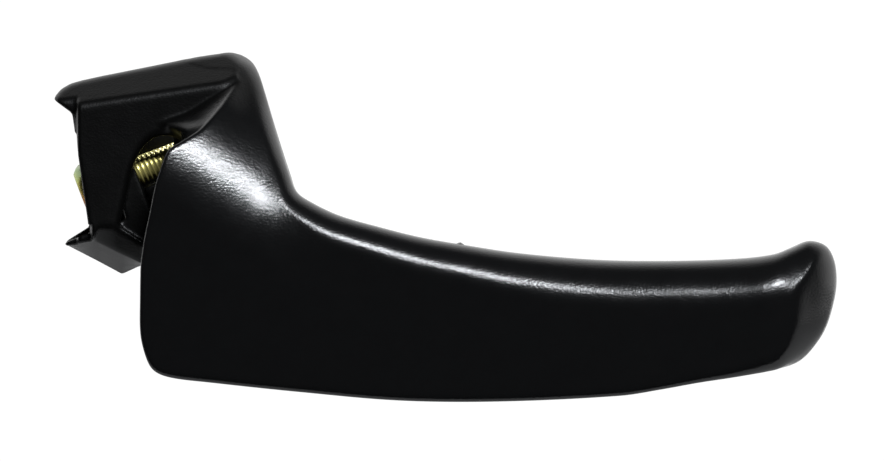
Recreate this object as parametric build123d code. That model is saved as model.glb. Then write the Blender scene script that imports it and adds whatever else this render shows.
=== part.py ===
"""Turning car door handle: a die-cast lever locked on a square spindle by a radial hexagon screw.

Frame, in millimetres: the door panel is the plane y = 0, the spindle's axis is the Y axis, the user
stands at -Y, X runs along the grip towards its free end and Z is up.
"""

from build123d import *
import os
from math import atan2, cos, degrees, radians, sin, sqrt

# Stack along the spindle, from the door panel outwards (towards -Y)
GASKET_T = 1.2
PLATE_T = 2.5
BUSH_FLANGE_T = 0.8
THRUST_T = 0.8
RUNNING_GAP = 0.3
Y_GASKET = -GASKET_T
Y_PLATE = Y_GASKET - PLATE_T
Y_BUSH = Y_PLATE - BUSH_FLANGE_T
Y_THRUST = Y_BUSH - THRUST_T
Y_HUB_BACK = Y_THRUST - RUNNING_GAP
HUB_DEPTH = 18.4
Y_HUB_FRONT = Y_HUB_BACK - HUB_DEPTH

# Hub of the lever: a box casting with a round boss
HUB_WALL = 2.4
ROOF_LEFT = (-28.4, 12.9)
ROOF_RIGHT = (3.4, 19.0)
ROOF_CHAMFER = 5.4
ROOF_INSET = 5.2
CORNER_R = 8.0
BOSS_R = 8.8
BOSS_CAP = 1.4
WEB_T = 2.4
WEB_FRONT = -20.0
WEB_REACH = 30.0
WEB_ANGLES = (80.0, 300.0)

# Spindle and what turns on it
SQUARE = 8.0
SQUARE_FIT = 0.04
JOURNAL_R = 5.7
BUSH_BORE_R = 5.75
TUBE_BORE_R = 7.0
TUBE_R = 8.5
TUBE_END = 10.0
BUSH_FLANGE_R = 8.2
BUSH_L = 4.8
THRUST_R = 9.0
THRUST_BORE_R = 5.9
SEAL_WIRE_R = 0.6
INSERT_R = 7.0
SPINDLE_FRONT = Y_HUB_BACK - 14.6
INSERT_FRONT = SPINDLE_FRONT - 0.4
SPINDLE_END = 42.0
SPINDLE_CHAMFER = 0.8
CLIP_T = 1.0
CLIP_IN_R = 4.6
CLIP_OUT_R = 7.6
CLIP_GAP = 5.0

# Fixing screw: M6 hexagon screw with a dog point, radial to the spindle
SCREW_TILT = 21.0
SCREW_Y = -14.8
SCREW_R = 3.0
SCREW_PITCH = 1.0
THREAD_DEPTH = 0.6
DOG_R = 2.0
DOG_L = 3.5
SCREW_L = 25.0
HEAD_SEAT = 26.7
HEAD_AF = 10.0
HEAD_H = 4.0
HEAD_CHAMFER = 0.6
SPRING_WASHER_T = 1.6
SPRING_WASHER_R = 5.9
SPRING_WASHER_GAP = 1.2
FLAT_WASHER_T = 1.6
FLAT_WASHER_R = 6.0
WASHER_HOLE_R = 3.2
SEAT = HEAD_SEAT - SPRING_WASHER_T - FLAT_WASHER_T
SEAT_WALL = 5.5
POCKET_BELOW = -8.6
POCKET_ABOVE = 12.0
POCKET_REACH = SEAT + 12.0
TAPPED_R = 3.06
CLEARANCE_R = 3.3
CROSS_HOLE_R = 2.15
CROSS_HOLE_FLOOR = 1.2

# Bearing plate, its studs and the travel stop
PLATE_R = 12.0
EAR_R = 15.0
EAR_ANGLES = (135.0, 315.0)
EAR_END_R = 5.0
STUD_R = 2.5
STUD_NECK_R = 2.9
STUD_HOLE_R = 3.75
STUD_HEAD_R = 3.6
STUD_HEAD_T = 1.0
STUD_END = 14.0
STUD_CHAMFER = 0.6
TRAVEL = 42.0
STOP_ANGLE = 110.0
STOP_AT_R = 12.7
STOP_PIN_R = 1.5
STOP_BOSS_R = 3.4
STOP_PIN_IN = 1.9
STOP_PIN_OUT = 1.8
STOP_CLEARANCE = 0.3
DOOR_HOLE_R = 10.5
GASKET_INSET = 0.4

# Return spring and its collar
WIRE_R = 0.6
COIL_R = 9.4
COIL_TURNS = 4
COIL_START = 0.6
COLLAR_R = 11.0
COLLAR_T = 2.0
COLLAR_GAP = 0.2
COLLAR_Y = TUBE_END + BUSH_FLANGE_T + COLLAR_GAP

# Lever grip: a channel casting, open towards the door
GRIP_WALL = 2.8
GRIP_FACE = -40.0
GRIP_BACK = -23.0
GRIP_RIM = -27.0
RIM_FROM = 44.0
EDGE_ROUND = 9.0
LEAN_FROM = -20.0
CURL_FROM = 100.0
INSET_STEPS = 8
BEAD_H = 3.0
BEAD_T = 2.2
BEADS = (38.0, 60.0, 82.0, 104.0)

AXIS_OUT = Vector(-cos(radians(SCREW_TILT)), 0, -sin(radians(SCREW_TILT)))
SCREW_PLANE = Plane(origin=(0, SCREW_Y, 0), x_dir=(0, 1, 0), z_dir=AXIS_OUT)


def slab(sketch, y_front, y_back):
    """Extrudes a sketch drawn in X, Z between two depths."""
    return extrude(Plane.XZ.offset(-y_back) * sketch, amount=y_back - y_front)


def disc(radius, y_front, y_back, at=(0, 0)):
    """A cylinder along Y."""
    return slab(Pos(*at) * Circle(radius), y_front, y_back)


def polar(radius, angle):
    """A point in X, Z, by radius and angle from +X towards +Z."""
    return radius * cos(radians(angle)), radius * sin(radians(angle))


def along_screw(sketch, start, end):
    """Extrudes a sketch drawn across the screw's axis, between two distances from the spindle's axis."""
    return extrude(SCREW_PLANE.offset(start) * sketch, amount=end - start)


def across(distance, side):
    """A point in X, Z at a distance out along the screw's axis and a distance to its upper side."""
    tilt = radians(SCREW_TILT)
    return -distance * cos(tilt) - side * sin(tilt), -distance * sin(tilt) + side * cos(tilt)


def upper_edge():
    """The grip's edge from the neck's flank, along the top and round the tip to the end."""
    flank = Line((10.1, 12.0), (15.7, -7.3))
    elbow = Spline(flank @ 1, (23.5, -14.7), tangents=[flank % 1, (0.9, -0.42)])
    top = Spline(
        elbow @ 1, (40.0, -20.1), (57.0, -23.0), (82.0, -25.2), (104.0, -25.2), (117.0, -24.0),
        (124.6, -21.1), tangents=[elbow % 1, (0.9, 0.3)],
    )
    tip = Spline(top @ 1, (129.3, -22.6), (131.2, -29.5), tangents=[top % 1, (0, -1)])
    end = Spline(tip @ 1, (129.2, -39.0), (121.5, -47.0), tangents=[tip % 1, (-0.9, -0.3)])
    return [flank, elbow, top, tip, end]


def lower_edge(start):
    """The grip's edge from the end, along the bottom, round the heel and up the sharp left side."""
    low = Spline(
        start @ 1, (103.0, -50.9), (82.0, -53.9), (50.0, -54.9), (18.3, -52.8), (-9.4, -49.6),
        tangents=[start % 1, (-1, 0.13)],
    )
    heel = Spline(low @ 1, (-13.6, -47.8), (-15.2, -43.9), tangents=[low % 1, (-0.1, 1)])
    side = Spline(
        heel @ 1, (-15.6, -33.5), (-14.2, -25.1), (-11.6, -12.4), (-8.4, -1.9),
        tangents=[heel % 1, (0.45, 1)],
    )
    shoulder = Spline(side @ 1, (-3.0, 2.6), (6.0, 12.0), tangents=[side % 1, (0.5, 1)])
    return [low, heel, side, shoulder]


def grip_outline():
    """The grip and neck seen from the front."""
    upper = upper_edge()
    lower = lower_edge(upper[-1])
    crown = Line(lower[-1] @ 1, upper[0] @ 0)
    return make_face(upper + lower + [crown])


def side_profile():
    """The grip and neck seen from the free end: the neck leans back to the hub."""
    lean = Spline(
        (GRIP_FACE, LEAN_FROM), (GRIP_FACE + 1.8, -9.5), (GRIP_FACE + 5.6, 0.0), (GRIP_FACE + 13.8, 12.0),
        (GRIP_FACE + 22.0, 22.0), tangents=[(0, 1), (0.7, 0.7)],
    )
    front = Line((GRIP_FACE, -60.0), lean @ 0)
    rest = Polyline(lean @ 1, (0, 22.0), (0, -60.0), front @ 0)
    return make_face([front, lean, rest])


def plan_profile():
    """The grip seen from above: its free end curls back, and its rim steps in after the neck."""
    curl = Spline(
        (CURL_FROM, GRIP_FACE), (116.0, GRIP_FACE + 1.8), (152.0, GRIP_FACE + 12.0),
        tangents=[(1, 0), (0.8, 0.5)],
    )
    front = Line((-30.0, GRIP_FACE), curl @ 0)
    rim = Spline((RIM_FROM, GRIP_RIM), (14.0, GRIP_BACK), tangents=[(-1, 0), (-1, 0)])
    end = Polyline(curl @ 1, (152.0, GRIP_RIM), rim @ 0)
    side = Polyline(rim @ 1, (-30.0, GRIP_BACK), front @ 0)
    return make_face([front, curl, end, rim, side])


def rounded_block():
    """A block larger than the grip, with the grip's front surface and its rounded upper edge."""
    flank, elbow, top = upper_edge()[:3]
    rise = Line((flank @ 0) - (flank % 0) * 20, flank @ 0)
    run = Line(top @ 1, (top @ 1) + (top % 1) * 25)
    right = Line(run @ 1, ((run @ 1).X, -60.0))
    low = Line(right @ 1, (-25.0, -60.0))
    left = Line(low @ 1, (-25.0, (rise @ 0).Y))
    crown = Line(left @ 1, rise @ 0)
    outline = make_face([rise, flank, elbow, top, run, right, low, left, crown])
    block = slab(outline, GRIP_FACE - 5, GRIP_BACK)
    side = extrude(Plane.YZ.offset(-40) * side_profile(), amount=240)
    plan = extrude(Plane.XY.offset(-80) * plan_profile(), amount=120)
    block = block & side & plan
    corner = Vector(top.center().X, GRIP_FACE, top.center().Y)
    longest = min(block.edges(), key=lambda edge: (edge.center() - corner).length)
    return block.fillet(EDGE_ROUND, [longest])


def inset(face, distance):
    """A smaller copy of a face, with its edges drawn again as plain splines."""
    edges = offset(face, amount=-distance, kind=Kind.INTERSECTION).face().outer_wire().order_edges()
    shares = [step / INSET_STEPS for step in range(INSET_STEPS + 1)]
    return make_face([Spline(*(edge @ share for share in shares)) for edge in edges])


def hub_outline():
    """The hub box seen from the front, with its two pointed lips."""
    shape = make_face(
        Polyline(
            (-30.2, 5.9), (-34.1, 9.1), ROOF_LEFT, ROOF_RIGHT, (9.9, 12.6), (15.7, -7.3), (18.0, -14.0),
            (16.0, -24.0), (2.0, -31.0), (-16.1, -25.8), (-20.0, -27.8), (-30.5, -22.3), (-31.6, -21.2),
            (-26.6, -17.9), close=True,
        )
    )
    return fillet(shape.vertices().sort_by_distance((*ROOF_RIGHT, 0))[0], CORNER_R)


def hub_inside():
    """The hub's hollow seen from the front, from the screw's seat wall to the neck."""
    inner_face = SEAT - SEAT_WALL
    return make_face(
        Polyline(
            across(inner_face, -12.5), across(inner_face, 11.5), (-6.0, 17.1 - ROOF_INSET),
            (3.0, 18.9 - ROOF_INSET), (6.6, 11.5), (12.6, -7.5), (13.4, -20.5), (2.0, -28.0),
            (-10.0, -22.0), close=True,
        )
    )


def notch():
    """The arched notch in the hub's front wall, open to the grip's left side."""
    arch = Spline(
        (-20.4, -17.8), (-19.1, -12.1), (-17.6, -5.4), (-13.4, 0.6), (-8.0, 0.8),
        tangents=[(0.3, 1), (1, -0.1)],
    )
    rest = Polyline(arch @ 1, (-5.0, 0.0), (-5.0, -21.5), (-15.0, -20.9), arch @ 0)
    return make_face([arch, rest])


def hub_box():
    """The hub without its boss: a box with a sloping front edge along its roof."""
    box = slab(hub_outline(), Y_HUB_FRONT, Y_HUB_BACK)
    roof_rise = degrees(atan2(ROOF_RIGHT[1] - ROOF_LEFT[1], ROOF_RIGHT[0] - ROOF_LEFT[0]))
    edge = Pos(ROOF_LEFT[0], Y_HUB_FRONT, ROOF_LEFT[1]) * Rot(0, -roof_rise, 0) * Rot(45, 0, 0)
    box -= edge * Box(200, ROOF_CHAMFER * sqrt(2), ROOF_CHAMFER * sqrt(2))
    box -= slab(hub_inside(), Y_HUB_FRONT + HUB_WALL, Y_HUB_BACK - HUB_WALL)
    sides = (POCKET_BELOW, POCKET_ABOVE)
    inner = [across(SEAT, side) for side in sides]
    outer = [across(POCKET_REACH, side) for side in reversed(sides)]
    pocket = make_face(Polyline(*inner, *outer, close=True))
    box -= slab(pocket, Y_HUB_FRONT + HUB_WALL, Y_HUB_BACK - HUB_WALL)
    box -= slab(notch(), Y_HUB_FRONT - 1, Y_HUB_FRONT + HUB_WALL + 0.5)
    for angle in WEB_ANGLES:
        strip = Rot(0, 0, angle) * Pos(WEB_REACH / 2, 0) * Rectangle(WEB_REACH, WEB_T)
        box += slab(strip, WEB_FRONT, Y_HUB_BACK) & slab(hub_outline(), Y_HUB_FRONT, Y_HUB_BACK)
    return box + disc(BOSS_R, INSERT_FRONT - BOSS_CAP, Y_HUB_BACK)


def grip_shell():
    """The grip and neck as an open channel, and the space inside it."""
    block = rounded_block()
    outline = grip_outline()
    inner = inset(outline, GRIP_WALL)
    inward = Location((-0.9 * GRIP_WALL, GRIP_WALL, -0.9 * GRIP_WALL))
    casting = block & slab(outline, GRIP_FACE - 5, GRIP_BACK)
    channel = block.moved(inward) & slab(inner, GRIP_FACE - 5, Y_HUB_FRONT + HUB_WALL + 0.5)
    bead_back = GRIP_FACE + GRIP_WALL + BEAD_H
    beads = [Pos(x, bead_back - 2, -38) * Box(BEAD_T, 4, 60) for x in BEADS]
    return casting, channel - beads


def lever():
    """Grip, neck, hub, boss, screw seat and lips, as one casting."""
    casting, channel = grip_shell()
    body = casting + hub_box() - channel
    body -= disc(INSERT_R, INSERT_FRONT, Y_HUB_BACK)
    body -= along_screw(Circle(TAPPED_R), SEAT - SEAT_WALL - 2, SEAT + 1)
    body -= along_screw(Circle(CLEARANCE_R), INSERT_R / 2, BOSS_R + 2)
    swing = CenterArc((0, 0), STOP_AT_R, STOP_ANGLE - TRAVEL, TRAVEL)
    slot = SlotArc(swing, 2 * (STOP_PIN_R + STOP_CLEARANCE))
    return body - slab(slot, Y_HUB_BACK - HUB_WALL - 0.5, Y_HUB_BACK)


def square(size):
    """The spindle's square, with one flat facing the fixing screw."""
    return Rot(0, 0, SCREW_TILT) * Rectangle(size, size)


def drive_insert():
    """Steel bush cast into the boss, with the square hole."""
    body = disc(INSERT_R, INSERT_FRONT, Y_HUB_BACK)
    body -= slab(square(SQUARE + 2 * SQUARE_FIT), INSERT_FRONT, Y_HUB_BACK)
    return body - along_screw(Circle(CLEARANCE_R), 0, INSERT_R + 1)


def spindle():
    """Square spindle with a round journal, a clip groove and a cross-hole for the screw's dog point."""
    body = slab(square(SQUARE), SPINDLE_FRONT, SPINDLE_END)
    body = chamfer(body.faces().filter_by(Axis.Y).edges(), SPINDLE_CHAMFER)
    body += disc(JOURNAL_R, Y_HUB_BACK, COLLAR_Y)
    groove = COLLAR_Y + COLLAR_T
    body -= disc(JOURNAL_R + 1, groove, groove + CLIP_T) - disc(CLIP_IN_R, groove, groove + CLIP_T)
    return body - along_screw(Circle(CROSS_HOLE_R), CROSS_HOLE_FLOOR, SQUARE)


def retaining_ring():
    """Snap ring in the spindle's groove."""
    groove = COLLAR_Y + COLLAR_T
    opening = Pos(0, -CLIP_OUT_R) * Rectangle(CLIP_GAP, 2 * CLIP_IN_R)
    return slab(Circle(CLIP_OUT_R) - Circle(CLIP_IN_R) - opening, groove, groove + CLIP_T)


def ring(outer, inner, y_front, y_back):
    """A plain ring round the spindle."""
    return slab(Circle(outer) - Circle(inner), y_front, y_back)


def bearing_bushes():
    """Two flanged plain bushes, one in each end of the plate's tube."""
    front = ring(TUBE_BORE_R, BUSH_BORE_R, Y_PLATE, Y_PLATE + BUSH_L)
    front += ring(BUSH_FLANGE_R, BUSH_BORE_R, Y_BUSH, Y_PLATE)
    rear = ring(TUBE_BORE_R, BUSH_BORE_R, TUBE_END - BUSH_L, TUBE_END)
    rear += ring(BUSH_FLANGE_R, BUSH_BORE_R, TUBE_END, TUBE_END + BUSH_FLANGE_T)
    return Compound([*front.solids(), *rear.solids()])


def spindle_seal():
    """O-ring between the two bushes."""
    middle = (Y_PLATE + BUSH_L + TUBE_END - BUSH_L) / 2
    return Pos(0, middle, 0) * Rot(90, 0, 0) * Torus((JOURNAL_R + TUBE_BORE_R) / 2, SEAL_WIRE_R)


def plate_outline(margin=0.0):
    """The bearing plate seen from the front: a disc with two ears and a bump for the stop pin."""
    rounds = [Circle(PLATE_R - margin), Pos(*polar(STOP_AT_R, STOP_ANGLE)) * Circle(STOP_BOSS_R - margin)]
    rounds += [Pos(*polar(EAR_R, angle)) * Circle(EAR_END_R - margin) for angle in EAR_ANGLES]
    return make_hull([round_end.edge() for round_end in rounds])


def coil():
    """The return spring's helix, from the plate's side to the collar's side."""
    height = TUBE_END - COIL_START - 4 * WIRE_R
    start = (0, COIL_START + 2 * WIRE_R, 0)
    return Helix(height / COIL_TURNS, height, COIL_R, center=start, direction=(0, 1, 0))


def leg_hole(end, y_front, y_back):
    """The hole that a leg of the spring sits in."""
    return disc(WIRE_R + 0.1, y_front, y_back, at=(end.X, end.Z))


def return_spring():
    """Torsion spring with a straight leg at each end, along the spindle."""
    path = coil()
    body = sweep(Plane(origin=path @ 0, z_dir=path % 0) * Circle(WIRE_R), path=path)
    for end, tip in ((path @ 0, Y_PLATE + 0.6), (path @ 1, COLLAR_Y + COLLAR_T - 0.3)):
        body += disc(WIRE_R, min(end.Y, tip), max(end.Y, tip), at=(end.X, end.Z))
        body += Pos(*end) * Sphere(WIRE_R)
    return body


def bearing_plate():
    """Pressed plate with the spindle's tube, the stud holes and the spring's anchor hole."""
    body = slab(plate_outline(), Y_PLATE, Y_GASKET) + disc(TUBE_R, Y_GASKET, TUBE_END)
    body -= disc(TUBE_BORE_R, Y_PLATE, TUBE_END)
    for angle in EAR_ANGLES:
        at = polar(EAR_R, angle)
        body -= disc(STUD_NECK_R, Y_PLATE, Y_GASKET, at)
        body -= disc(STUD_HEAD_R, Y_PLATE, Y_PLATE + STUD_HEAD_T, at)
    body -= disc(STOP_PIN_R, Y_PLATE, Y_PLATE + STOP_PIN_IN, polar(STOP_AT_R, STOP_ANGLE))
    return body - leg_hole(coil() @ 0, Y_PLATE, Y_GASKET)


def plate_studs():
    """Two flush-headed studs, pressed into the plate, that go through the door panel."""
    studs = []
    for angle in EAR_ANGLES:
        at = polar(EAR_R, angle)
        shank = disc(STUD_R, Y_GASKET, STUD_END, at)
        shank = chamfer(shank.faces().sort_by(Axis.Y)[-1].edges(), STUD_CHAMFER)
        shank += disc(STUD_NECK_R, Y_PLATE, Y_GASKET, at)
        studs += (shank + disc(STUD_HEAD_R, Y_PLATE, Y_PLATE + STUD_HEAD_T, at)).solids()
    return Compound(studs)


def gasket():
    """Flat gasket between the plate and the door panel."""
    body = slab(plate_outline(GASKET_INSET), Y_GASKET, 0) - disc(DOOR_HOLE_R, Y_GASKET, 0)
    for angle in EAR_ANGLES:
        body -= disc(STUD_HOLE_R, Y_GASKET, 0, polar(EAR_R, angle))
    return body


def spring_collar():
    """Disc on the spindle's square that the spring turns back."""
    body = disc(COLLAR_R, COLLAR_Y, COLLAR_Y + COLLAR_T)
    body -= slab(square(SQUARE + 2 * SQUARE_FIT), COLLAR_Y, COLLAR_Y + COLLAR_T)
    return body - leg_hole(coil() @ 1, COLLAR_Y, COLLAR_Y + COLLAR_T)


def stop_pin():
    """Pin pressed into the plate that ends the lever's travel in the hub's slot."""
    at = polar(STOP_AT_R, STOP_ANGLE)
    return disc(STOP_PIN_R, Y_HUB_BACK - STOP_PIN_OUT, Y_PLATE + STOP_PIN_IN, at)


def fixing_screw():
    """Hexagon screw with a dog point; its thread is drawn as rings at the real pitch."""
    tip = HEAD_SEAT - SCREW_L
    root = SCREW_R - THREAD_DEPTH
    profile = [(0, 0), (DOG_R - 0.4, 0), (DOG_R, 0.4), (DOG_R, DOG_L), (root, DOG_L)]
    crests = int(SCREW_L - DOG_L - 2)
    for turn in range(crests):
        start = DOG_L + turn * SCREW_PITCH
        profile += [(SCREW_R, start + 0.45 * SCREW_PITCH), (SCREW_R, start + 0.55 * SCREW_PITCH)]
        profile += [(root, start + SCREW_PITCH)]
    profile += [(SCREW_R, DOG_L + crests * SCREW_PITCH + 0.6), (SCREW_R, SCREW_L), (0, SCREW_L)]
    shank = revolve(Plane.XZ * make_face(Polyline(*profile, close=True)), Axis.Z)
    blank = Cylinder(HEAD_AF / sqrt(3), HEAD_H, align=(Align.CENTER, Align.CENTER, Align.MIN))
    blank = chamfer(blank.faces().sort_by(Axis.Z)[-1].edges(), HEAD_CHAMFER)
    hexagon = extrude(RegularPolygon(HEAD_AF / 2, 6, major_radius=False), amount=HEAD_H)
    return SCREW_PLANE.offset(tip).location * (shank + Pos(0, 0, SCREW_L) * (blank & hexagon))


def flat_washer():
    """Plain washer on the screw's seat."""
    return along_screw(Circle(FLAT_WASHER_R) - Circle(WASHER_HOLE_R), SEAT, SEAT + FLAT_WASHER_T)


def spring_washer():
    """Split lock washer under the screw's head."""
    split = Pos(SPRING_WASHER_R, 0) * Rectangle(2 * SPRING_WASHER_R, SPRING_WASHER_GAP)
    flat = Circle(SPRING_WASHER_R) - Circle(WASHER_HOLE_R) - split
    return along_screw(flat, SEAT + FLAT_WASHER_T, HEAD_SEAT)


def main():
    os.makedirs("parts", exist_ok=True)
    nodes = {
        "lever": lever(),
        "drive_insert": drive_insert(),
        "spindle": spindle(),
        "spring_collar": spring_collar(),
        "retaining_ring": retaining_ring(),
        "thrust_washer": ring(THRUST_R, THRUST_BORE_R, Y_THRUST, Y_BUSH),
        "bearing_bushes": bearing_bushes(),
        "spindle_seal": spindle_seal(),
        "bearing_plate": bearing_plate(),
        "plate_studs": plate_studs(),
        "stop_pin": stop_pin(),
        "gasket": gasket(),
        "return_spring": return_spring(),
        "flat_washer": flat_washer(),
        "spring_washer": spring_washer(),
        "fixing_screw": fixing_screw(),
    }
    for name, shape in nodes.items():
        export_step(shape, f"parts/{name}.step")


main()
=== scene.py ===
"""Looks of the car door handle: the cast lever, its screw and the hardware behind it.

Lengths in the shape code are millimetres in the CAD frame (+X along the grip, +Z up, the user at -Y);
they become metres only when a mesh is made.
"""

import math

import bpy
import numpy as np
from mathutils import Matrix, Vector


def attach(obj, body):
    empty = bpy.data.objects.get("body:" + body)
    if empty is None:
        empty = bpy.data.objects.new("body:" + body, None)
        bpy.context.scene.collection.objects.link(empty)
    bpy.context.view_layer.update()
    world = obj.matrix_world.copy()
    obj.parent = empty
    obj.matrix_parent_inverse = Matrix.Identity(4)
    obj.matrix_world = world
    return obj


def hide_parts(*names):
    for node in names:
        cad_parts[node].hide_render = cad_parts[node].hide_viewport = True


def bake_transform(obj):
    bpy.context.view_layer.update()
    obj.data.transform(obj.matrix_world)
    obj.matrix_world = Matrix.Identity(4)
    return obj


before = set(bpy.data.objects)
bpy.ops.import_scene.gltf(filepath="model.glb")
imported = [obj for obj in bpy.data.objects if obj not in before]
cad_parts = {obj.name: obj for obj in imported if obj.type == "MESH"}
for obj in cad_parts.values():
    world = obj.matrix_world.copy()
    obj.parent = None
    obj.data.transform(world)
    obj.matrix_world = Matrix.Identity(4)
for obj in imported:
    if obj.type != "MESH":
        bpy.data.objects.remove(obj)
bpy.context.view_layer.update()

MM = 0.001

# ---------------------------------------------------------------- sizes shared with the CAD model
# Hub and grip; the grip's rim runs from GRIP_BACK at RIM_LEVEL to GRIP_RIM at RIM_FROM
HUB_FRONT = -24.0
HUB_BACK = -5.6
HUB_WALL = 2.4
GRIP_FACE = -40.0
GRIP_BACK = -23.0
GRIP_RIM = -27.0
RIM_FROM = 44.0
RIM_LEVEL = 14.0
GRIP_WALL = 2.8
# Boss round the spindle's insert, and the webs beside it
BOSS_R = 8.8
BOSS_CAP = 1.4
INSERT_R = 7.0
INSERT_FRONT = -20.6
WEB_T = 2.4
WEB_FRONT = -20.0
WEB_ANGLES = (80.0, 300.0)
# Screw, its seat in the hub and the pocket round its head
SCREW_TILT = 21.0
SCREW_Y = -14.8
SCREW_R = 3.0
SCREW_PITCH = 1.0
THREAD_DEPTH = 0.6
DOG_R = 2.0
DOG_L = 3.5
SCREW_L = 25.0
HEAD_SEAT = 26.7
HEAD_AF = 10.0
SEAT = 23.5
SEAT_WALL = 5.5
POCKET_BELOW = -8.6
POCKET_ABOVE = 12.0
TAPPED_R = 3.06
CLEARANCE_R = 3.3
# Slot for the stop pin
STOP_AT_R = 12.7
STOP_ANGLE = 110.0
TRAVEL = 42.0
STOP_SLOT_R = 1.8
# Cross ribs in the grip's channel
BEADS = (38.0, 60.0, 82.0, 104.0)
BEAD_T = 2.2
BEAD_H = 3.0

# ---------------------------------------------------------------- the visual lever's own shape
# The grip's channel stops at this height; edges of the rim, the channel and the ribs
CHANNEL_TOP = -2.0
RIM_ROUND = 0.5
CHANNEL_ROUND = 0.4
BEAD_ROUND = 0.8
# The pocket round the screw's head is cut this far past the seat, out of the hub's left side
POCKET_DEEP = 14.0
# The neck leans back to the hub along NECK_WAY, and no further right than NECK_SIDE
NECK_WAY = (0.54, 0.84)
NECK_FROM = 16.0
NECK_LEAN = 0.018
NECK_SIDE = (12.0, 34.0)
# The neck's rim reaches back to the hub's rear face between these heights, left of NECK_RIM_X
NECK_RIM = (-12.0, -7.0)
NECK_RIM_X = 30.0
# The free end: how the front curls back, and how the outline shrinks from the rim to the front
CURL_FROM = 114.0
CURL_ROOM = 10.0
CURL = 0.016
END_ROUND = 0.031
END_FROM = 118.0
END_TO = 127.0
# The left side leans outwards behind the front, above the heel
FLARE = 0.44
FLARE_DEPTH = 14.0
FLARE_RISE = (-0.5, 4.5)
LEFT_ROUND = 0.55
# How often the map of edge radii is smoothed
EDGE_BLUR = 12
# The fillet between hub and grip, which fades out where their surfaces meet at the crown
HUB_JOIN = 0.8
CROWN_JOIN = 0.05
CROWN = (10.5, 13.0)
# A small casting mark on the grip's top edge
NIB_AT = (51.7, -32.0, -22.0)
NIB_R = 0.6
NIB_JOIN = 0.4

# The grip seen from the front, as (x, z, edge radius): from the neck's flank along the top, round the
# free end, back along the bottom and round the heel
MAIN_EDGE = [
    (-6.0, 17.4, 1.6), (-1.0, 18.2, 2.0), (2.9, 18.8, 2.5), (5.6, 18.2, 2.5), (7.7, 16.7, 2.5),
    (9.0, 14.4, 2.5), (9.9, 11.8, 2.5), (12.7, 2.4, 2.8), (15.8, -7.2, 3.2), (17.3, -10.8, 4.0),
    (20.6, -13.1, 5.0), (26.4, -15.8, 6.5), (34.8, -18.2, 7.0), (43.2, -20.3, 7.5), (51.7, -21.8, 8.0),
    (64.3, -23.7, 9.0), (81.2, -25.1, 10.0), (97.0, -25.3, 10.0), (110.8, -24.8, 10.0),
    (118.0, -23.9, 9.5), (121.6, -22.5, 9.0), (125.3, -21.1, 8.5), (128.9, -22.1, 8.0),
    (130.7, -25.2, 8.0), (131.2, -29.7, 8.0), (130.6, -34.0, 8.0), (129.1, -39.0, 7.0),
    (127.1, -42.5, 6.0), (123.7, -46.2, 5.0), (119.6, -47.9, 3.6), (110.8, -49.6, 2.0),
    (102.3, -50.9, 1.4), (93.9, -52.4, 1.2), (85.4, -53.7, 1.2), (60.1, -54.9, 1.2), (39.0, -54.7, 1.2),
    (17.9, -52.9, 1.2), (-1.1, -50.9, 1.2), (-9.6, -49.8, 1.2), (-13.0, -48.2, 1.0),
    (-14.7, -44.8, 0.8), (-15.8, -39.5, 0.6), (-15.9, -33.5, 0.6), (-15.9, -28.0, 0.6),
]
# ... and its sharp left side, from below the heel up to the neck's crown
LEFT_EDGE = [
    (-15.9, -50.0), (-15.9, -40.0), (-15.8, -33.5), (-15.6, -27.0), (-14.8, -20.8), (-13.6, -15.0),
    (-12.5, -9.6), (-11.4, -6.0), (-9.8, -2.1), (-6.8, 0.0), (-2.8, 2.5), (0.8, 6.4), (3.7, 10.0),
    (5.3, 12.3), (5.6, 14.4), (4.0, 16.2), (0.0, 18.0), (-4.0, 22.0), (-4.0, 30.0),
]
# Corners far outside that close the two edges into areas
MAIN_CLOSE = [(-20.0, -15.0), (-34.0, 0.0), (-34.0, 12.0)]
LEFT_CLOSE = [(8.0, 30.0), (200.0, 30.0), (200.0, -60.0), (-15.6, -60.0)]

# The hub seen from the front, and the lines that shape its lower block: the front ridge, the foot of the
# chamfer under it, and the lower edge at the back
HUB_OUTLINE = [
    (-30.3, 5.9), (-34.4, 8.9), (-32.8, 11.0), (-30.8, 12.2), (-28.4, 12.9), (-24.3, 13.8), (-15.8, 15.5),
    (-7.4, 17.2), (-3.2, 18.0), (1.1, 18.6), (3.0, 18.8), (5.6, 18.2), (6.4, 15.0), (6.0, 12.0), (7.0, 6.0),
    (8.0, -7.3), (14.0, -14.0), (14.0, -24.0), (2.0, -31.0), (-16.1, -31.0), (-31.0, -31.0), (-31.9, -21.2),
    (-26.8, -18.0),
]
RIDGE = [
    (-34.0, -22.6), (-30.0, -21.9), (-25.7, -21.1), (-25.2, -18.5), (-21.3, -18.1), (-20.4, -17.8),
    (-15.0, -20.9), (18.0, -30.0),
]
CHAMFER_FOOT = [
    (-34.0, -22.6), (-30.0, -21.9), (-25.3, -21.1), (-15.8, -25.8), (-5.0, -30.5), (18.0, -31.0),
]
LOWER_BACK = [(-34.0, -20.7), (-31.5, -22.1), (-20.0, -28.3), (-16.1, -26.4), (18.0, -26.4)]
CHAMFER_DEPTH = 3.0
BLOCK_STEEPNESS = 0.8
# The hub's front steps back at its left edge and at its lower left corner
LIP = 2.0
LIP_X = -29.2
CORNER_X = -26.2
CORNER_Z = -17.6
# The roof slopes back from a fold across the hub's front; the radius of its edges grows over CROWN_X
FOLD = ((-28.1, 7.8), (3.9, 12.5))
ROOF_RUN = 9.0
ROOF_RISE = 6.1
FOLD_ROUND = 0.9
CROWN_ROUND = 4.5
CROWN_X = (1.0, 8.0)
HUB_ROUND = 0.6
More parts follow.
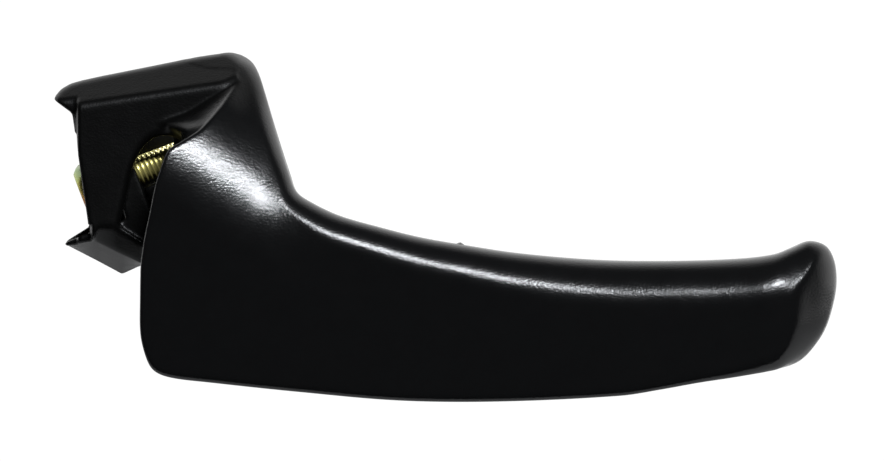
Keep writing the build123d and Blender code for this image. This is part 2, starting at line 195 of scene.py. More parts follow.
# The hollow in the hub: its lower and upper corner beside the screw's seat, then the rest of its outline;
# right of NECK_X it also stays inside the grip's skin
INSIDE_LOW = -12.5
INSIDE_HIGH = 11.5
HUB_INSIDE = [
    (-6.0, 11.9), (3.0, 13.7), (6.6, 11.5), (12.6, -7.5), (13.4, -20.5), (2.0, -23.5), (-10.0, -22.0),
]
NECK_X = -6.0
INSIDE_ROUND = 0.5
# The opening in the hub's front that shows the screw
NOTCH = [(-20.3, -17.9), (-19.0, -12.1), (-17.5, -5.6), (-14.9, -0.8), (-12.2, 1.0), (-8.4, 1.1)]
NOTCH_CLOSE = [(-6.0, -1.0), (-5.0, -24.0), (-14.6, -21.6)]
NOTCH_EDGE = 1.5
# The shelf under the screw, from the seat to the boss
SHELF_FRONT = -19.8
SHELF_HIGH = -3.7
SHELF_LOW = -13.0
SHELF_END = 7.0
SHELF_FOOT = (-6.0, -24.0)
SHELF_JOIN = 0.4
WEB_JOIN = 0.8
BOSS_JOIN = 0.8
# How far a cut goes past a surface, or a web stays short of one, so that no two coincide
PAST = 1.0


def polar(radius, angle):
    """A point in X, Z, by radius and angle from +X towards +Z."""
    return radius * math.cos(math.radians(angle)), radius * math.sin(math.radians(angle))


def across(distance, side):
    """A point in X, Z at a distance out along the screw's axis and a distance to its upper side."""
    c, s = polar(1, SCREW_TILT)
    return -distance * c - side * s, -distance * s + side * c


# ---------------------------------------------------------------- plane curves and distances
def smooth_path(points, steps=10):
    """A smooth curve through the points, as an array of points; further columns are carried along."""
    p = np.array([points[0], *points, points[-1]], float)
    found = []
    for a, b, c, d in zip(p, p[1:], p[2:], p[3:]):
        before, here, after = (np.linalg.norm((v - u)[:2]) for u, v in ((a, b), (b, c), (c, d)))
        start = (c - a) * here / (before + here)
        end = (d - b) * here / (here + after)
        for t in np.arange(steps) / steps:
            found.append(
                (2 * t**3 - 3 * t**2 + 1) * b + (t**3 - 2 * t**2 + t) * start
                + (3 * t**2 - 2 * t**3) * c + (t**3 - t**2) * end
            )
    return np.array(found + [p[-1]])


def polygon_distance(corners, x, z):
    """Signed distance to a closed polygon, negative inside."""
    a = np.asarray(corners, float)
    b = np.roll(a, -1, axis=0)
    nearest = np.full(x.shape, 1e9)
    inside = np.zeros(x.shape, bool)
    for (ax, az), (bx, bz) in zip(a, b):
        dx, dz = bx - ax, bz - az
        t = np.clip(((x - ax) * dx + (z - az) * dz) / max(dx * dx + dz * dz, 1e-12), 0, 1)
        nearest = np.minimum(nearest, (x - ax - t * dx) ** 2 + (z - az - t * dz) ** 2)
        if az != bz:
            inside ^= ((az > z) != (bz > z)) & (x < ax + (z - az) * dx / dz)
    return np.where(inside, -1.0, 1.0) * np.sqrt(nearest)


def along_curve(curve, x, z):
    """The third column of the curve's nearest point."""
    best = np.full(x.shape, 1e9)
    found = np.zeros(x.shape)
    for px, pz, value in curve:
        d = (x - px) ** 2 + (z - pz) ** 2
        near = d < best
        best[near] = d[near]
        found[near] = value
    return found


def blur(values, passes):
    """Smooths a 2-D map."""
    for _ in range(passes):
        padded = np.pad(values, 1, mode="edge")
        beside = padded[:-2, 1:-1] + padded[2:, 1:-1] + padded[1:-1, :-2] + padded[1:-1, 2:]
        values = (padded[1:-1, 1:-1] * 2 + beside) / 6
    return values


def ease(values, start, end):
    """0 before start, 1 after end, smooth between."""
    t = np.clip((values - start) / (end - start), 0, 1)
    return t * t * (3 - 2 * t)


# ---------------------------------------------------------------- solid modelling by distance fields
def cut_round(a, b, r):
    """Where both fields are negative, with their shared edge rounded to radius r."""
    return np.minimum(np.maximum(a, b), -r) + np.hypot(np.maximum(a + r, 0), np.maximum(b + r, 0))


def join_round(a, b, r):
    """Where either field is negative, with a fillet of radius r between them."""
    return -cut_round(-a, -b, r)


class Grid:
    """A block of sample points; 2-D maps are X, Z and broadcast along Y."""

    def __init__(self, low, high, step):
        self.low = np.array(low, float)
        self.step = step
        counts = np.ceil((np.array(high) - self.low) / step).astype(int) + 1
        axes = [self.low[k] + step * np.arange(counts[k]) for k in range(3)]
        self.x = axes[0][:, None, None].astype(np.float32)
        self.y = axes[1][None, :, None].astype(np.float32)
        self.z = axes[2][None, None, :].astype(np.float32)
        self.map_x, self.map_z = np.meshgrid(axes[0], axes[2], indexing="ij")

    def lift(self, plane_map):
        """A map as a field that is the same at every depth."""
        return plane_map[:, None, :].astype(np.float32)

    def polygon(self, corners, passes=2):
        """Distance to a closed outline, slightly smoothed."""
        return self.lift(blur(polygon_distance(corners, self.map_x, self.map_z), passes))

    def disc(self, radius, at=(0.0, 0.0)):
        """Distance to a cylinder along Y."""
        return (np.hypot(self.x - at[0], self.z - at[1]) - radius).astype(np.float32)

    def slab(self, front, back):
        """Distance to the space between two depths."""
        return np.maximum(front - self.y, self.y - back)

    def along_screw(self, radius, start, end):
        """Distance to a cylinder on the screw's axis, between two distances from the spindle's axis."""
        c, s = polar(1, SCREW_TILT)
        out = -c * self.x - s * self.z
        side = -s * self.x + c * self.z
        away = np.sqrt(side**2 + (self.y - SCREW_Y) ** 2) - radius
        return np.maximum(away, np.maximum(start - out, out - end))


def grip_depth(x, z):
    """Depth of the grip's front surface: the neck leans back to the hub and the free end curls back."""
    along, up = NECK_WAY
    climb = np.maximum(along * x + up * z + NECK_FROM, 0)
    beside = ease(up * x - along * z, *NECK_SIDE)
    past = np.maximum(x - CURL_FROM, 0)
    turning = np.minimum(past, CURL_ROOM)
    curl = CURL * turning * (2 * past - turning)
    return GRIP_FACE + NECK_LEAN * climb**2 * (1 - beside) + curl


def grip_fields(grid):
    """The grip's skin without its left side and back, the skin without its back, and the whole grip."""
    x, z = grid.map_x, grid.map_z
    depth = grip_depth(x, z)
    slope = np.gradient(depth, grid.step)
    facing = 1 / np.sqrt(1 + slope[0] ** 2 + slope[1] ** 2)
    front = grid.lift(facing) * (grid.lift(depth) - grid.y)
    edge = smooth_path(MAIN_EDGE)
    main = grid.polygon([*edge[:, :2], *MAIN_CLOSE])
    ahead = np.clip(GRIP_RIM - grid.y, 0, GRIP_RIM - GRIP_FACE)
    main = main + END_ROUND * ahead**2 * grid.lift(ease(x, END_FROM, END_TO))
    radius = grid.lift(blur(along_curve(edge, x, z), EDGE_BLUR))
    behind = np.clip(grid.y - grid.lift(depth), 0, FLARE_DEPTH)
    left = grid.polygon([*smooth_path(LEFT_EDGE), *LEFT_CLOSE], 1)
    left = left - behind * grid.lift(FLARE * ease(z, *FLARE_RISE))
    open_skin = cut_round(cut_round(front, main, radius), roof_field(grid), roof_round(grid))
    skin = cut_round(open_skin, left, LEFT_ROUND)
    rim = GRIP_RIM + (GRIP_BACK - GRIP_RIM) * (1 - ease(grid.x, RIM_LEVEL, RIM_FROM))
    rim = rim + (HUB_BACK - GRIP_BACK) * ease(grid.z, *NECK_RIM) * (grid.x < NECK_RIM_X)
    return open_skin, skin, cut_round(skin, grid.y - rim, RIM_ROUND)


def roof_round(grid):
    """Radius of the fold and of the roof's top edge: tight along the hub, wide at the neck's crown."""
    return FOLD_ROUND + (CROWN_ROUND - FOLD_ROUND) * ease(grid.x, *CROWN_X)


def roof_field(grid):
    """The roof's slope, from the fold at the hub's front up to its top edge."""
    (ax, az), (bx, bz) = FOLD
    length = math.hypot(bx - ax, bz - az)
    rise = ((grid.z - az) * (bx - ax) - (grid.x - ax) * (bz - az)) / length
    tilt = math.hypot(ROOF_RUN, ROOF_RISE)
    return (rise * ROOF_RUN - (grid.y - HUB_FRONT) * ROOF_RISE) / tilt


def lower_block(grid):
    """The hub's underside: a chamfer below the front ridge, then a slope down towards the door."""
    columns = grid.x[:, 0, 0]
    lines = (RIDGE, CHAMFER_FOOT, LOWER_BACK)
    ridge, foot, back = (np.interp(columns, *np.transpose(line))[:, None] for line in lines)
    behind = grid.y[0, :, 0][None, :] - HUB_FRONT
    first = np.clip(behind / CHAMFER_DEPTH, 0, 1)
    second = np.clip((behind - CHAMFER_DEPTH) / (HUB_BACK - HUB_FRONT - CHAMFER_DEPTH), 0, 1)
    level = blur(ridge + (foot - ridge) * first + (back - foot) * second, 1)
    return ((level[:, :, None] - grid.z) * BLOCK_STEEPNESS).astype(np.float32)


def hub_box(grid):
    """The hub's outer block with its stepped front and the notch that shows the screw."""
    outline = grid.polygon(HUB_OUTLINE)
    recess = LIP * (grid.x < LIP_X) + LIP * ((grid.x < CORNER_X) & (grid.z < CORNER_Z))
    box = cut_round(outline, np.maximum(HUB_FRONT + recess - grid.y, grid.y - HUB_BACK), HUB_ROUND)
    box = cut_round(box, roof_field(grid), roof_round(grid))
    box = cut_round(box, lower_block(grid), HUB_ROUND)
    notch = grid.polygon([*smooth_path(NOTCH), *NOTCH_CLOSE])
    notch = np.maximum(notch, grid.slab(HUB_FRONT - 4 * PAST, HUB_FRONT + HUB_WALL + PAST / 2))
    return cut_round(box, -notch, NOTCH_EDGE)


def hub_hollow(grid, open_skin):
    """The space inside the hub, from the screw's seat to the neck."""
    behind_seat = SEAT - SEAT_WALL
    inner = [across(behind_seat, INSIDE_LOW), across(behind_seat, INSIDE_HIGH), *HUB_INSIDE]
    hollow = np.maximum(grid.polygon(inner), grid.slab(HUB_FRONT + HUB_WALL, HUB_BACK - HUB_WALL))
    hollow = np.maximum(hollow, roof_field(grid) + HUB_WALL)
    return np.maximum(hollow, np.where(grid.x > NECK_X, open_skin + HUB_WALL, hollow))


def hub_details(grid, box, open_skin):
    """The block with its hollow, its pocket, and the shelf, webs and boss inside it."""
    box = cut_round(box, -hub_hollow(grid, open_skin), INSIDE_ROUND)
    sides = [across(SEAT, POCKET_BELOW), across(SEAT, POCKET_ABOVE)]
    sides += [across(SEAT + POCKET_DEEP, POCKET_ABOVE), across(SEAT + POCKET_DEEP, POCKET_BELOW)]
    pocket = np.maximum(grid.polygon(sides), grid.slab(HUB_FRONT + HUB_WALL, HUB_BACK - HUB_WALL))
    box = cut_round(box, -pocket, INSIDE_ROUND)
    seat = SEAT - SEAT_WALL - PAST / 2
    sides = [across(seat, SHELF_HIGH), across(SHELF_END, SHELF_HIGH), SHELF_FOOT, across(seat, SHELF_LOW)]
    shelf = np.maximum(grid.polygon(sides), grid.slab(SHELF_FRONT, HUB_BACK - PAST))
    box = join_round(box, np.maximum(shelf, lower_block(grid) + PAST), SHELF_JOIN)
    outline = grid.polygon(HUB_OUTLINE)
    for angle in WEB_ANGLES:
        c, s = polar(1, angle)
        web = np.maximum(np.abs(-s * grid.x + c * grid.z) - WEB_T / 2, -(c * grid.x + s * grid.z))
        web = np.maximum(np.maximum(web, grid.slab(WEB_FRONT, HUB_BACK)), outline + PAST)
        box = join_round(box, np.maximum(web, roof_field(grid) + PAST), WEB_JOIN)
    boss = np.maximum(grid.disc(BOSS_R), grid.slab(INSERT_FRONT - BOSS_CAP, HUB_BACK))
    return join_round(box, boss, BOSS_JOIN)


def stop_slot(grid):
    """The arc slot in the hub's back that the stop pin runs in."""
    angle = np.arctan2(grid.z, grid.x)
    held = np.clip(angle, math.radians(STOP_ANGLE - TRAVEL), math.radians(STOP_ANGLE))
    away = np.hypot(grid.x - STOP_AT_R * np.cos(held), grid.z - STOP_AT_R * np.sin(held)) - STOP_SLOT_R
    return np.maximum(away, grid.slab(HUB_BACK - HUB_WALL - PAST / 2, HUB_BACK + PAST))


def lever_field(grid):
    """The whole casting as one distance field."""
    open_skin, skin, grip = grip_fields(grid)
    body = join_round(hub_box(grid), grip, HUB_JOIN - (HUB_JOIN - CROWN_JOIN) * ease(grid.z, *CROWN))
    body = hub_details(grid, body, open_skin)
    x, y, z = NIB_AT
    nib = np.sqrt((grid.x - x) ** 2 + (grid.y - y) ** 2 + (grid.z - z) ** 2) - NIB_R
    body = join_round(body, nib, NIB_JOIN)
    channel = np.maximum(skin + GRIP_WALL, grid.y - (HUB_FRONT + HUB_WALL + PAST / 2))
    channel = np.maximum(channel, grid.z - CHANNEL_TOP)
    for x in BEADS:
        bead = np.maximum(np.abs(grid.x - x) - BEAD_T / 2, grid.y - (GRIP_FACE + GRIP_WALL + BEAD_H))
        channel = cut_round(channel, -bead, BEAD_ROUND)
    body = cut_round(body, -channel, CHANNEL_ROUND)
    insert = np.maximum(grid.disc(INSERT_R), grid.slab(INSERT_FRONT, HUB_BACK + PAST))
    body = np.maximum(body, -insert)
    body = np.maximum(body, -grid.along_screw(TAPPED_R, SEAT - SEAT_WALL - 2 * PAST, SEAT + PAST))
    body = np.maximum(body, -grid.along_screw(CLEARANCE_R, INSERT_R / 2, BOSS_R + 2 * PAST))
    return np.maximum(body, -stop_slot(grid)).astype(np.float32)


# ---------------------------------------------------------------- meshes
# How strongly a vertex keeps to the middle of its cell's crossings, and how far it may leave the cell
KEEP_MIDDLE = 0.08
CELL_MARGIN = 0.02


def dual_contour(field, grid):
    """Vertices, normals and quads of the field's zero surface, with its creases kept."""
    step = grid.step
    slopes = [g / step for g in np.gradient(field)]
    inside = field < 0
    shape = np.array(field.shape)
    cells, places, normals, faces = [], [], [], []
    for axis in range(3):
        u, v = (axis + 1) % 3, (axis + 2) % 3
        low = np.take(inside, range(shape[axis] - 1), axis)
        high = np.take(inside, range(1, shape[axis]), axis)
        at = np.argwhere(low != high)
        at = at[(at[:, u] > 0) & (at[:, v] > 0) & (at[:, u] < shape[u] - 1) & (at[:, v] < shape[v] - 1)]
        to = at + np.eye(3, dtype=int)[axis]
        first, last = field[tuple(at.T)], field[tuple(to.T)]
        t = (first / (first - last))[:, None]
        before = np.stack([g[tuple(at.T)] for g in slopes], 1)
        after = np.stack([g[tuple(to.T)] for g in slopes], 1)
        n = before * (1 - t) + after * t
        n /= np.maximum(np.linalg.norm(n, axis=1), 1e-9)[:, None]
        spot = at.astype(float)
        spot[:, axis] += t[:, 0]
        around = []
        for du, dv in ((0, 0), (-1, 0), (-1, -1), (0, -1)):
            corner = at.copy()
            corner[:, u] += du
            corner[:, v] += dv
            index = np.ravel_multi_index(tuple(corner.T), tuple(shape))
            around.append(index)
            cells.append(index)
            places.append(spot)
            normals.append(n)
        quad = np.stack(around, 1)
        outward = inside[tuple(at.T)]
        faces.append(np.where(outward[:, None], quad, quad[:, ::-1]))
    cells, places, normals = np.concatenate(cells), np.concatenate(places), np.concatenate(normals)
    keys, owner = np.unique(cells, return_inverse=True)
    count = np.bincount(owner).astype(float)

    def gather(values):
        return np.stack([np.bincount(owner, weights=values[:, k]) for k in range(values.shape[1])], 1)

    mass = gather(places) / count[:, None]
    offset = ((places - mass[owner]) * normals).sum(1)[:, None]
    pairs = [(i, j) for i in range(3) for j in range(3)]
    ata = gather(np.stack([normals[:, i] * normals[:, j] for i, j in pairs], 1)).reshape(-1, 3, 3)
    atb = gather(normals * offset)
    shift = np.linalg.solve(ata + KEEP_MIDDLE * np.eye(3), atb[:, :, None])[:, :, 0]
    base = np.stack(np.unravel_index(keys, tuple(shape)), 1)
    spots = np.clip(mass + shift, base - CELL_MARGIN, base + 1 + CELL_MARGIN)
    mean = gather(normals)
    mean /= np.maximum(np.linalg.norm(mean, axis=1), 1e-9)[:, None]
    quads = np.searchsorted(keys, np.concatenate(faces))
    return grid.low + spots * step, mean, quads


def make_mesh(name, spots, faces, normals=None):
    """A mesh object from points in millimetres."""
    mesh = bpy.data.meshes.new(name)
    mesh.from_pydata((np.asarray(spots) * MM).tolist(), [], [list(map(int, f)) for f in faces])
    mesh.validate()
    mesh.shade_smooth()
    if normals is not None:
        mesh.normals_split_custom_set_from_vertices(np.asarray(normals).tolist())
    made = bpy.data.objects.new(name, mesh)
    bpy.context.scene.collection.objects.link(made)
    return made


# The block of sample points and its spacing
GRID_LOW = (-35.5, -42.5, -57.5)
GRID_HIGH = (133.5, -4.0, 21.0)
GRID_STEP = 0.5


def cast_lever():
    """The casting: grip, neck, hub, boss and screw seat."""
    grid = Grid(GRID_LOW, GRID_HIGH, GRID_STEP)
    spots, normals, quads = dual_contour(lever_field(grid), grid)
    return make_mesh("cast_lever", spots, quads, normals)


def screw_point(out, radius, angle):
    """Points round the screw's axis, in millimetres."""
    out = out + 0 * angle
    c, s = polar(1, SCREW_TILT)
    side, deep = radius * np.cos(angle), radius * np.sin(angle)
    return np.stack([-c * out - s * side, SCREW_Y + deep, -s * out + c * side], -1)


SCREW_SIDES = 48
POINT_R = 0.01
DOG_CHAMFER = 0.4
DOG_NECK = 0.3
# One turn of the thread, as (share of the pitch, share of the depth); its ends fade over THREAD_FADE.
# The thread stops THREAD_END before the head, and a plain neck starts SHANK_NECK before it
THREAD_PROFILE = [(0.0, 0.0), (0.42, 1.0), (0.58, 1.0)]
THREAD_FADE = 0.8
THREAD_END = 1.0
SHANK_NECK = 0.9
# The head from its washer face outwards, as (distance, largest radius); the hexagon cuts the larger ones
HEAD_ROWS = [
    (0.0, 4.8), (0.3, 4.8), (0.3, 5.5), (0.6, 6.0), (2.3, 6.0), (3.1, 5.25), (3.75, 4.55), (4.0, 4.2),
    (4.0, 3.4), (3.75, 3.2), (3.7, POINT_R),
]


def hexagon_screw():
    """M6 screw with a dog point, a helical thread and a chamfered hexagon head."""
    turn = np.arange(SCREW_SIDES) / SCREW_SIDES
    angle = 2 * np.pi * turn
    root = SCREW_R - THREAD_DEPTH
    tip = HEAD_SEAT - SCREW_L
    rows = [(0.0, POINT_R), (0.0, DOG_R - DOG_CHAMFER), (DOG_CHAMFER, DOG_R), (DOG_L - DOG_NECK, DOG_R)]
    rings = [screw_point(tip + out, radius, angle) for out, radius in rows]
    threads = int(SCREW_L - DOG_L - THREAD_END - SCREW_PITCH / 2)
    for thread in range(threads):
        for share, height in THREAD_PROFILE:
            out = DOG_L + (thread + share + turn) * SCREW_PITCH
            start = np.clip((out - DOG_L) / THREAD_FADE, 0, 1)
            end = np.clip((SCREW_L - THREAD_END - out) / THREAD_FADE, 0, 1)
            rings.append(screw_point(tip + out, root + THREAD_DEPTH * height * start * end, angle))
    rings.append(screw_point(HEAD_SEAT - SHANK_NECK, root, angle))
    rings.append(screw_point(HEAD_SEAT, root, angle))
    flat = (HEAD_AF / 2) / np.cos(angle % (np.pi / 3) - np.pi / 6)
    for out, radius in HEAD_ROWS:
        rings.append(screw_point(HEAD_SEAT + out, np.minimum(flat, radius), angle))
    spots = np.concatenate(rings)
    faces = []
    for row in range(len(rings) - 1):
        for k in range(SCREW_SIDES):
            a = row * SCREW_SIDES + k
            b = row * SCREW_SIDES + (k + 1) % SCREW_SIDES
            faces.append((a, b, b + SCREW_SIDES, a + SCREW_SIDES))
    return make_mesh("hexagon_screw", spots, faces)


# ---------------------------------------------------------------- materials
class Shader:
    """A material's node tree with short ways to add to it."""

    def __init__(self, name):
        self.material = bpy.data.materials.new(name)
        self.material.use_nodes = True
        self.nodes = self.material.node_tree.nodes
        self.links = self.material.node_tree.links
        self.base = self.nodes["Principled BSDF"]

    def add(self, kind, inputs=None, **settings):
        node = self.nodes.new(kind)
        for key, value in settings.items():
            setattr(node, key, value)
        for key, value in (inputs or {}).items():
            if isinstance(value, bpy.types.NodeSocket):
                self.links.new(value, node.inputs[key])
            else:
                node.inputs[key].default_value = value
        return node

    def place(self):
        return self.add("ShaderNodeTexCoord").outputs["Object"]

    def noise(self, scale, detail=3.0, roughness=0.55, at=None):
        inputs = {"Vector": at or self.place(), "Scale": scale, "Detail": detail, "Roughness": roughness}
        return self.add("ShaderNodeTexNoise", inputs).outputs["Fac"]

    def span(self, value, low, high, to_low=0.0, to_high=1.0):
        inputs = {"Value": value, "From Min": low, "From Max": high, "To Min": to_low, "To Max": to_high}
        return self.add("ShaderNodeMapRange", inputs).outputs["Result"]

    def ramp(self, value, stops):
        node = self.add("ShaderNodeValToRGB", {"Fac": value})
        while len(node.color_ramp.elements) < len(stops):
            node.color_ramp.elements.new(0.5)
        for element, (at, colour) in zip(node.color_ramp.elements, stops):
            element.position = at
            element.color = (*colour, 1.0)
        return node.outputs["Color"]

    def bump(self, height, strength, distance, after=None):
        inputs = {"Height": height, "Strength": strength, "Distance": distance}
        if after is not None:
            inputs["Normal"] = after
        return self.add("ShaderNodeBump", inputs).outputs["Normal"]

    def finish(self, **sockets):
        for key, value in sockets.items():
            socket = self.base.inputs[key.replace("_", " ")]
            if isinstance(value, bpy.types.NodeSocket):
                self.links.new(value, socket)
            else:
                socket.default_value = value
        return self.material


# The paint turns matt between these depths, and its base colour turns darker there as painted shade
MATT_AND_SHADE_Y = (HUB_FRONT - 6.0, HUB_FRONT + 0.5)
GLOSSY_BLACK = (0.0076, 0.0077, 0.0080)
# One black paint: the hub's darker base colour is painted shade, not a second paint
MATT_SHADED_BLACK = (0.0030, 0.0030, 0.0029)


def black_paint():
    """Black baked paint: glossy on the grip, matt on the hub with a darker base colour there as painted
    shade, and a fine orange peel.
    """
    shader = Shader("black_paint")
    peel = shader.noise(2400.0, 2.0)
    waves = shader.noise(420.0, 2.0)
    normal = shader.bump(waves, 0.02, 0.001, shader.bump(peel, 0.12, 0.0004))
    depth = shader.add("ShaderNodeSeparateXYZ", {"Vector": shader.place()}).outputs["Y"]
    matt_and_shade = shader.span(depth, *(y * MM for y in MATT_AND_SHADE_Y))
    worn = shader.span(shader.noise(260.0, 4.0), 0.3, 0.7, 0.17, 0.21)
    rough = shader.add("ShaderNodeMath", {0: matt_and_shade, 1: 0.17, 2: worn}, operation="MULTIPLY_ADD").outputs[0]
    return shader.finish(
        # The darker base colour further back on the hub is painted shade
        Base_Color=shader.ramp(matt_and_shade, [(0.0, GLOSSY_BLACK), (1.0, MATT_SHADED_BLACK)]),
        Roughness=rough,
        Specular_IOR_Level=shader.span(matt_and_shade, 0.0, 1.0, 0.5, 0.3),
        Normal=normal,
    )


def metal(name, low, high, roughness, grain=900.0, strength=0.15):
    """A worn metal finish: two mixed colours, uneven gloss and a fine grain."""
    shader = Shader(name)
    tone = shader.noise(180.0, 5.0)
    return shader.finish(
        Base_Color=shader.ramp(tone, [(0.32, low), (0.68, high)]),
        Metallic=1.0,
        Roughness=shader.span(shader.noise(420.0, 4.0), 0.3, 0.7, roughness - 0.06, roughness + 0.08),
        Normal=shader.bump(shader.noise(grain, 3.0), strength, 0.0002),
    )


# The head's tint changes between these heights, and gives way to THREAD_YELLOW between these X
HEAD_TINT_Z = (-13.0, -4.5)
THREAD_X = (-24.0, -20.0)
THREAD_YELLOW = (0.74, 0.66, 0.22, 1.0)


def yellow_zinc():
    """Yellow chromated zinc: plain on the thread, from orange to a pale green up the screw's head."""
    shader = Shader("yellow_zinc")
    split = shader.add("ShaderNodeSeparateXYZ", {"Vector": shader.place()})
    rise = shader.span(split.outputs["Z"], *(z * MM for z in HEAD_TINT_Z))
    drift = shader.span(shader.noise(260.0, 3.0), 0.3, 0.7, -0.12, 0.12)
    mixed = shader.add("ShaderNodeMath", {0: rise, 1: drift}, operation="ADD").outputs[0]
    colour = shader.ramp(mixed, [
        (0.05, (0.80, 0.34, 0.10)), (0.25, (0.86, 0.66, 0.16)), (0.50, (0.66, 0.72, 0.22)),
        (0.72, (0.50, 0.66, 0.34)), (0.95, (0.72, 0.78, 0.58)),
    ])
    inboard = shader.span(split.outputs["X"], *(x * MM for x in THREAD_X))
    mix = {"Fac": inboard, "Color1": colour, "Color2": THREAD_YELLOW}
    colour = shader.add("ShaderNodeMixRGB", mix).outputs["Color"]
    return shader.finish(
        Base_Color=colour,
        Metallic=0.6,
        Roughness=shader.span(shader.noise(500.0, 4.0), 0.3, 0.7, 0.28, 0.42),
        Normal=shader.bump(shader.noise(1400.0, 3.0), 0.12, 0.0002),
    )


def moulded(name, low, high, roughness, scale):
    """A moulded plastic or rubber with a fine skin."""
    shader = Shader(name)
    return shader.finish(
        Base_Color=shader.ramp(shader.noise(scale, 4.0), [(0.3, low), (0.7, high)]),
        Roughness=shader.span(shader.noise(scale * 2, 4.0), 0.3, 0.7, roughness - 0.06, roughness + 0.06),
        Normal=shader.bump(shader.noise(scale * 5, 3.0), 0.2, 0.0002),
    )


MATERIALS = {
    "black_paint": black_paint(),
    "yellow_zinc": yellow_zinc(),
    "zinc_steel": metal("zinc_steel", (0.50, 0.52, 0.54), (0.66, 0.68, 0.70), 0.34),
    "plain_steel": metal("plain_steel", (0.34, 0.34, 0.35), (0.46, 0.46, 0.47), 0.38),
    "spring_steel": metal("spring_steel", (0.16, 0.16, 0.17), (0.26, 0.26, 0.27), 0.36),
    "bronze": metal("bronze", (0.42, 0.27, 0.13), (0.56, 0.38, 0.20), 0.42),
    "nylon": moulded("nylon", (0.66, 0.64, 0.57), (0.74, 0.72, 0.65), 0.48, 240.0),
    "black_rubber": moulded("black_rubber", (0.014, 0.014, 0.014), (0.024, 0.024, 0.024), 0.72, 300.0),
}
SLOTS = {
    "drive_insert": "plain_steel", "spindle": "zinc_steel", "spring_collar": "zinc_steel",
    "retaining_ring": "spring_steel", "thrust_washer": "nylon", "bearing_bushes": "bronze",
    "spindle_seal": "black_rubber", "bearing_plate": "zinc_steel", "plate_studs": "zinc_steel",
    "stop_pin": "plain_steel", "gasket": "black_rubber", "return_spring": "spring_steel",
    "flat_washer": "yellow_zinc", "spring_washer": "yellow_zinc",
}


def dress(piece, slot):
    """Gives a piece one material."""
    piece.data.materials.clear()
    piece.data.materials.append(MATERIALS[slot])


# ---------------------------------------------------------------- studio
# Brightness by direction: TENT from the front to the back, with a share TENT_SIDES of the sides, and
# UNDER from below to level
TENT_SIDES = 0.55
TENT = {"From Min": 0.30, "From Max": 0.90, "To Min": 0.0, "To Max": 1.05}
UNDER = {"From Min": -0.85, "From Max": -0.40, "To Min": 0.35, "To Max": 1.0}


def studio():
    """A tent: white behind and beside, dim below, dark in front; the eye itself sees plain white."""
    world = bpy.data.worlds.new("studio")
    bpy.context.scene.world = world
    world.use_nodes = True
    nodes, links = world.node_tree.nodes, world.node_tree.links
    nodes.clear()

    def math_node(operation, *values):
        node = nodes.new("ShaderNodeMath")
        node.operation = operation
        for slot, value in enumerate(values):
            if isinstance(value, bpy.types.NodeSocket):
                links.new(value, node.inputs[slot])
            else:
                node.inputs[slot].default_value = value
        return node.outputs[0]

    where = nodes.new("ShaderNodeTexCoord")
    split = nodes.new("ShaderNodeSeparateXYZ")
    links.new(where.outputs["Generated"], split.inputs[0])
    beside = math_node("MULTIPLY", math_node("ABSOLUTE", split.outputs["X"]), TENT_SIDES)
    level = nodes.new("ShaderNodeMapRange")
    level.interpolation_type = "SMOOTHSTEP"
    for key, value in TENT.items():
        level.inputs[key].default_value = value
    links.new(math_node("ADD", split.outputs["Y"], beside), level.inputs["Value"])
    under = nodes.new("ShaderNodeMapRange")
    under.interpolation_type = "SMOOTHSTEP"
    for key, value in UNDER.items():
        under.inputs[key].default_value = value
    links.new(split.outputs["Z"], under.inputs["Value"])
    tent = math_node("MULTIPLY", level.outputs[0], under.outputs[0])
    eye = nodes.new("ShaderNodeLightPath").outputs["Is Camera Ray"]
    light = nodes.new("ShaderNodeBackground")
    light.inputs["Color"].default_value = (1.0, 1.0, 1.0, 1.0)
    links.new(math_node("MAXIMUM", tent, eye), light.inputs["Strength"])
    out = nodes.new("ShaderNodeOutputWorld")
    links.new(light.outputs[0], out.inputs["Surface"])


# Colour of the lamps
DAYLIGHT = (0.93, 0.96, 1.0)


def area_light(name, target, toward, distance, size, power):
    """A soft area light that shines on a target from a direction."""
    data = bpy.data.lights.new(name, "AREA")
    data.shape = "RECTANGLE"
    data.size, data.size_y = size
    data.energy = power
    data.color = DAYLIGHT
    made = bpy.data.objects.new(name, data)
    way = Vector(toward).normalized()
    made.location = target + way * distance
    made.visible_camera = False
    made.rotation_mode = "QUATERNION"
    made.rotation_quaternion = (-way).to_track_quat("-Z", "Y")
    bpy.context.scene.collection.objects.link(made)
    return made


# Metres: the middle of the view, the screw's thread in the notch, and the view's width at AIM
AIM = Vector((0.048, -0.030, -0.0189))
THREAD_AT = Vector((-0.013, -0.0148, -0.0045))
FRAME_WIDTH = 0.1867
CAMERA_AWAY = 4.0


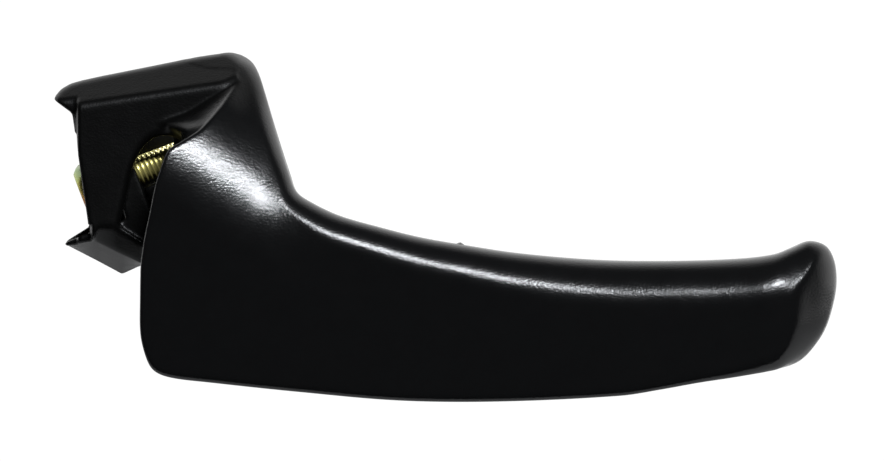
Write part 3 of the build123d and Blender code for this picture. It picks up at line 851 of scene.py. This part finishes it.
def camera():
    """Long lens, level, straight at the front."""
    data = bpy.data.cameras.new("camera")
    data.sensor_width = 36.0
    data.lens = data.sensor_width * CAMERA_AWAY / FRAME_WIDTH
    data.clip_start, data.clip_end = 0.05, 30.0
    made = bpy.data.objects.new("camera", data)
    made.location = AIM - Vector((0, CAMERA_AWAY, 0))
    made.rotation_euler = (math.radians(90), 0, 0)
    bpy.context.scene.collection.objects.link(made)
    bpy.context.scene.camera = made


def twisting_spring():
    """A copy of the torsion spring in the CAD part's place; the CAD part itself is hidden."""
    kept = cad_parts["return_spring"]
    made = bpy.data.objects.new("twisting_spring", kept.data.copy())
    made.data.transform(kept.matrix_world)
    bpy.context.scene.collection.objects.link(made)
    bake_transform(made)
    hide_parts("return_spring")


FLOOR_HALF = 3.0
FLOOR_FRONT = -0.25
FLOOR_Z = -0.45


def floor():
    """A pale floor far below the object."""
    mesh = bpy.data.meshes.new("floor")
    sides = (-FLOOR_HALF, FLOOR_HALF)
    near = [(x, FLOOR_FRONT, FLOOR_Z) for x in sides]
    far = [(x, FLOOR_HALF, FLOOR_Z) for x in reversed(sides)]
    mesh.from_pydata(near + far, [], [(0, 1, 2, 3)])
    made = bpy.data.objects.new("floor", mesh)
    bpy.context.scene.collection.objects.link(made)
    shader = Shader("floor")
    tone = shader.ramp(shader.noise(3.0), [(0.3, (0.80, 0.80, 0.80)), (0.7, (0.84, 0.84, 0.84))])
    made.data.materials.append(shader.finish(Base_Color=tone, Roughness=0.9))


# ---------------------------------------------------------------- build
for name, slot in SLOTS.items():
    dress(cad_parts[name], slot)

lever = cast_lever()
dress(lever, "black_paint")
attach(lever, "lever")
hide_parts("lever")

screw = hexagon_screw()
dress(screw, "yellow_zinc")
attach(screw, "fixing_screw")
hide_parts("fixing_screw")

twisting_spring()

studio()
area_light("key", AIM, (0.28, -0.71, 0.63), distance=1.6, size=(0.58, 0.10), power=22.0)
area_light("hollow", THREAD_AT, (0.05, 0.60, 0.80), distance=0.0105, size=(0.009, 0.003), power=0.0014)
camera()
floor()
bpy.context.scene.view_settings.view_transform = "Standard"
